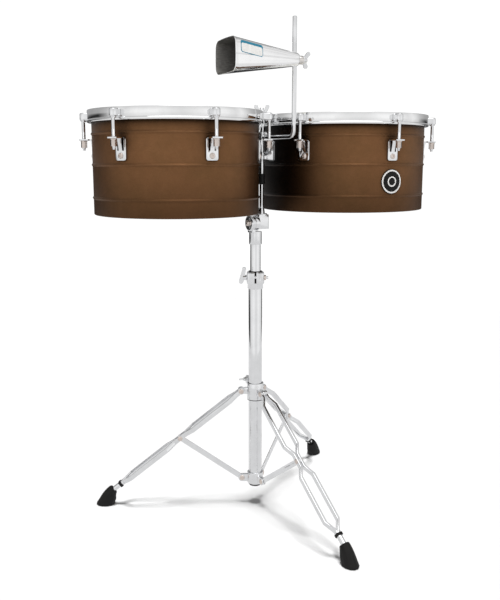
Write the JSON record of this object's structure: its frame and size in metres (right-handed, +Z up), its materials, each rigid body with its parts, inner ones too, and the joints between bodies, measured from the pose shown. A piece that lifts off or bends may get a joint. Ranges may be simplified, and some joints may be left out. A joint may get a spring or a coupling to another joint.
{
  "type": "timbales",
  "caption": "Pair of shallow metal-shelled drums and a cowbell on a tilting centre rod, carried by a folding tripod stand with braced legs.",
  "frame": {"origin": "on the floor, on the axis of the stand's post", "axes": "+Z up, +X along the line of the two drums towards the larger drum, +Y towards the player"},
  "size_m": [0.8248, 0.6152, 1.129],
  "materials": {
    "chrome": "polished chrome plate on steel",
    "fastener_steel": "plated steel fasteners, satin",
    "shell_bronze": "matte textured bronze-brown paint on steel shell",
    "drumhead_film": "coated drumhead film",
    "flesh_hoop_aluminium": "mill finish aluminium channel",
    "black_plastic": "moulded nylon",
    "black_rubber": "moulded rubber",
    "badge_black": "gloss black disc with a plain light ring",
    "bell_plate": "plated sheet steel, brushed grey inside"
  },
  "bodies": {
    "stand": {"lower_tube": "chrome", "tube_plug": "black_plastic", "lower_collar": "chrome", "lower_rivets": "fastener_steel", "clamp_body": "chrome", "clamp_bushing": "black_plastic", "clamp_nut": "fastener_steel"},
    "clamp_wing": {"clamp_wing_bolt": "chrome"},
    "leg_collar": {"upper_collar": "chrome", "collar_bushing": "black_plastic", "collar_rivets": "fastener_steel"},
    "collar_wing": {"collar_wing_bolt": "chrome"},
    "upper_post": {"upper_tube": "chrome", "tilter_base": "chrome", "tilter_bolt": "fastener_steel"},
    "tilt_block": {"tilter_head": "chrome", "center_rod": "chrome", "rod_lock_nut": "chrome", "rod_bumper": "black_rubber", "rod_spacers": "chrome"},
    "top_wing": {"top_wing_nut": "chrome"},
    "small_drum": {"small_shell": "shell_bronze", "small_head": "drumhead_film", "small_flesh_hoop": "flesh_hoop_aluminium", "small_lug_brackets": "chrome", "small_lug_screws": "fastener_steel", "small_tension_nuts": "fastener_steel", "small_mount_bracket": "chrome", "small_mount_bolts": "fastener_steel"},
    "small_hoop": {"small_counter_hoop": "chrome", "small_tension_hooks": "chrome"},
    "large_drum": {"large_shell": "shell_bronze", "large_head": "drumhead_film", "large_flesh_hoop": "flesh_hoop_aluminium", "large_lug_brackets": "chrome", "large_lug_screws": "fastener_steel", "large_tension_nuts": "fastener_steel", "large_mount_bracket": "chrome", "large_mount_bolts": "fastener_steel", "shell_badge": "badge_black"},
    "large_hoop": {"large_counter_hoop": "chrome", "large_tension_hooks": "chrome"},
    "bell_arm": {"cowbell_arm": "chrome"},
    "bell": {"cowbell": "bell_plate", "cowbell_eyebolt": "fastener_steel", "cowbell_sleeve": "fastener_steel"},
    "bell_wing": {"cowbell_wing_nut": "chrome"},
    "leg_1_body": {"leg_1": "chrome", "leg_rivet_1": "fastener_steel", "foot_1": "black_rubber"},
    "brace_1_body": {"brace_1": "chrome"},
    "leg_2_body": {"leg_2": "chrome", "leg_rivet_2": "fastener_steel", "foot_2": "black_rubber"},
    "brace_2_body": {"brace_2": "chrome"},
    "leg_3_body": {"leg_3": "chrome", "leg_rivet_3": "fastener_steel", "foot_3": "black_rubber"},
    "brace_3_body": {"brace_3": "chrome"}
  },
  "joints": [
    {"name": "post_height", "type": "slide", "parent": "stand", "child": "upper_post", "axis": [0, 0, 1], "range_m": [-0.055, 0.22]},
    {"name": "tilt", "type": "hinge", "parent": "upper_post", "child": "tilt_block", "pos_m": [0, 0, 0.687], "axis": [1, 0, 0], "range_deg": [-35, 35]},
    {"name": "small_drum_swivel", "type": "hinge", "parent": "tilt_block", "child": "small_drum", "pos_m": [0.016, 0, 0.84], "axis": [0, 0, 1], "range_deg": [-12, 0]},
    {"name": "large_drum_swivel", "type": "hinge", "parent": "tilt_block", "child": "large_drum", "pos_m": [0.016, 0, 0.84], "axis": [0, 0, 1], "range_deg": [0, 12]},
    {"name": "small_hoop_slack", "type": "slide", "parent": "small_drum", "child": "small_hoop", "axis": [0, 0, 1], "range_m": [0, 0.006]},
    {"name": "large_hoop_slack", "type": "slide", "parent": "large_drum", "child": "large_hoop", "axis": [0, 0, 1], "range_m": [0, 0.006]},
    {"name": "bell_arm_swivel", "type": "hinge", "parent": "tilt_block", "child": "bell_arm", "pos_m": [0.016, 0, 0.88], "axis": [0, 0, 1], "range_deg": [-20, 3]},
    {"name": "bell_swivel", "type": "hinge", "parent": "bell_arm", "child": "bell", "pos_m": [0.032, -0.11388, 1.04], "axis": [0, 0, 1], "range_deg": [-60, 60]},
    {"name": "bell_wing_turn", "type": "hinge", "parent": "bell", "child": "bell_wing", "pos_m": [0.05694, -0.11563, 1.04], "axis": [0.9976, -0.0698, 0], "continuous": true},
    {"name": "top_wing_turn", "type": "hinge", "parent": "tilt_block", "child": "top_wing", "pos_m": [0.016, 0, 0.93], "axis": [0, 0, 1], "continuous": true},
    {"name": "clamp_wing_turn", "type": "hinge", "parent": "stand", "child": "clamp_wing", "pos_m": [-0.01869, -0.01385, 0.562], "axis": [0.8829, -0.4695, 0], "continuous": true},
    {"name": "collar_wing_turn", "type": "hinge", "parent": "leg_collar", "child": "collar_wing", "pos_m": [-0.00185, 0.02644, 0.308], "axis": [-0.9976, -0.0698, 0], "continuous": true},
    {"name": "tripod_fold", "type": "slide", "parent": "stand", "child": "leg_collar", "axis": [0, 0, 1], "range_m": [0, 0.146]},
    {"name": "leg_1_fold", "type": "hinge", "parent": "leg_collar", "child": "leg_1_body", "pos_m": [0.02819, 0.01901, 0.2845], "axis": [-0.5592, 0.829, 0], "range_deg": [-1, 44.3]},
    {"name": "brace_1_fold", "type": "hinge", "parent": "leg_1_body", "child": "brace_1_body", "pos_m": [0.15088, 0.10177, 0.1674], "axis": [-0.5592, 0.829, 0], "range_deg": [-90.4, 1]},
    {"name": "leg_2_fold", "type": "hinge", "parent": "leg_collar", "child": "leg_2_body", "pos_m": [-0.03056, 0.0149, 0.2845], "axis": [-0.4384, -0.8988, 0], "range_deg": [-1, 44.3]},
    {"name": "brace_2_fold", "type": "hinge", "parent": "leg_2_body", "child": "brace_2_body", "pos_m": [-0.16358, 0.07978, 0.1674], "axis": [-0.4384, -0.8988, 0], "range_deg": [-90.4, 1]},
    {"name": "leg_3_fold", "type": "hinge", "parent": "leg_collar", "child": "leg_3_body", "pos_m": [0.00237, -0.03392, 0.2845], "axis": [0.9976, 0.0698, 0], "range_deg": [-1, 44.3]},
    {"name": "brace_3_fold", "type": "hinge", "parent": "leg_3_body", "child": "brace_3_body", "pos_m": [0.0127, -0.18156, 0.1674], "axis": [0.9976, 0.0698, 0], "range_deg": [-90.4, 1]}
  ],
  "couplings": [
    {"joint": "leg_1_fold", "follows": "tripod_fold", "rad_per_m": 5.1738},
    {"joint": "brace_1_fold", "follows": "tripod_fold", "rad_per_m": -10.686},
    {"joint": "leg_2_fold", "follows": "tripod_fold", "rad_per_m": 5.1738},
    {"joint": "brace_2_fold", "follows": "tripod_fold", "rad_per_m": -10.686},
    {"joint": "leg_3_fold", "follows": "tripod_fold", "rad_per_m": 5.1738},
    {"joint": "brace_3_fold", "follows": "tripod_fold", "rad_per_m": -10.686}
  ]
}
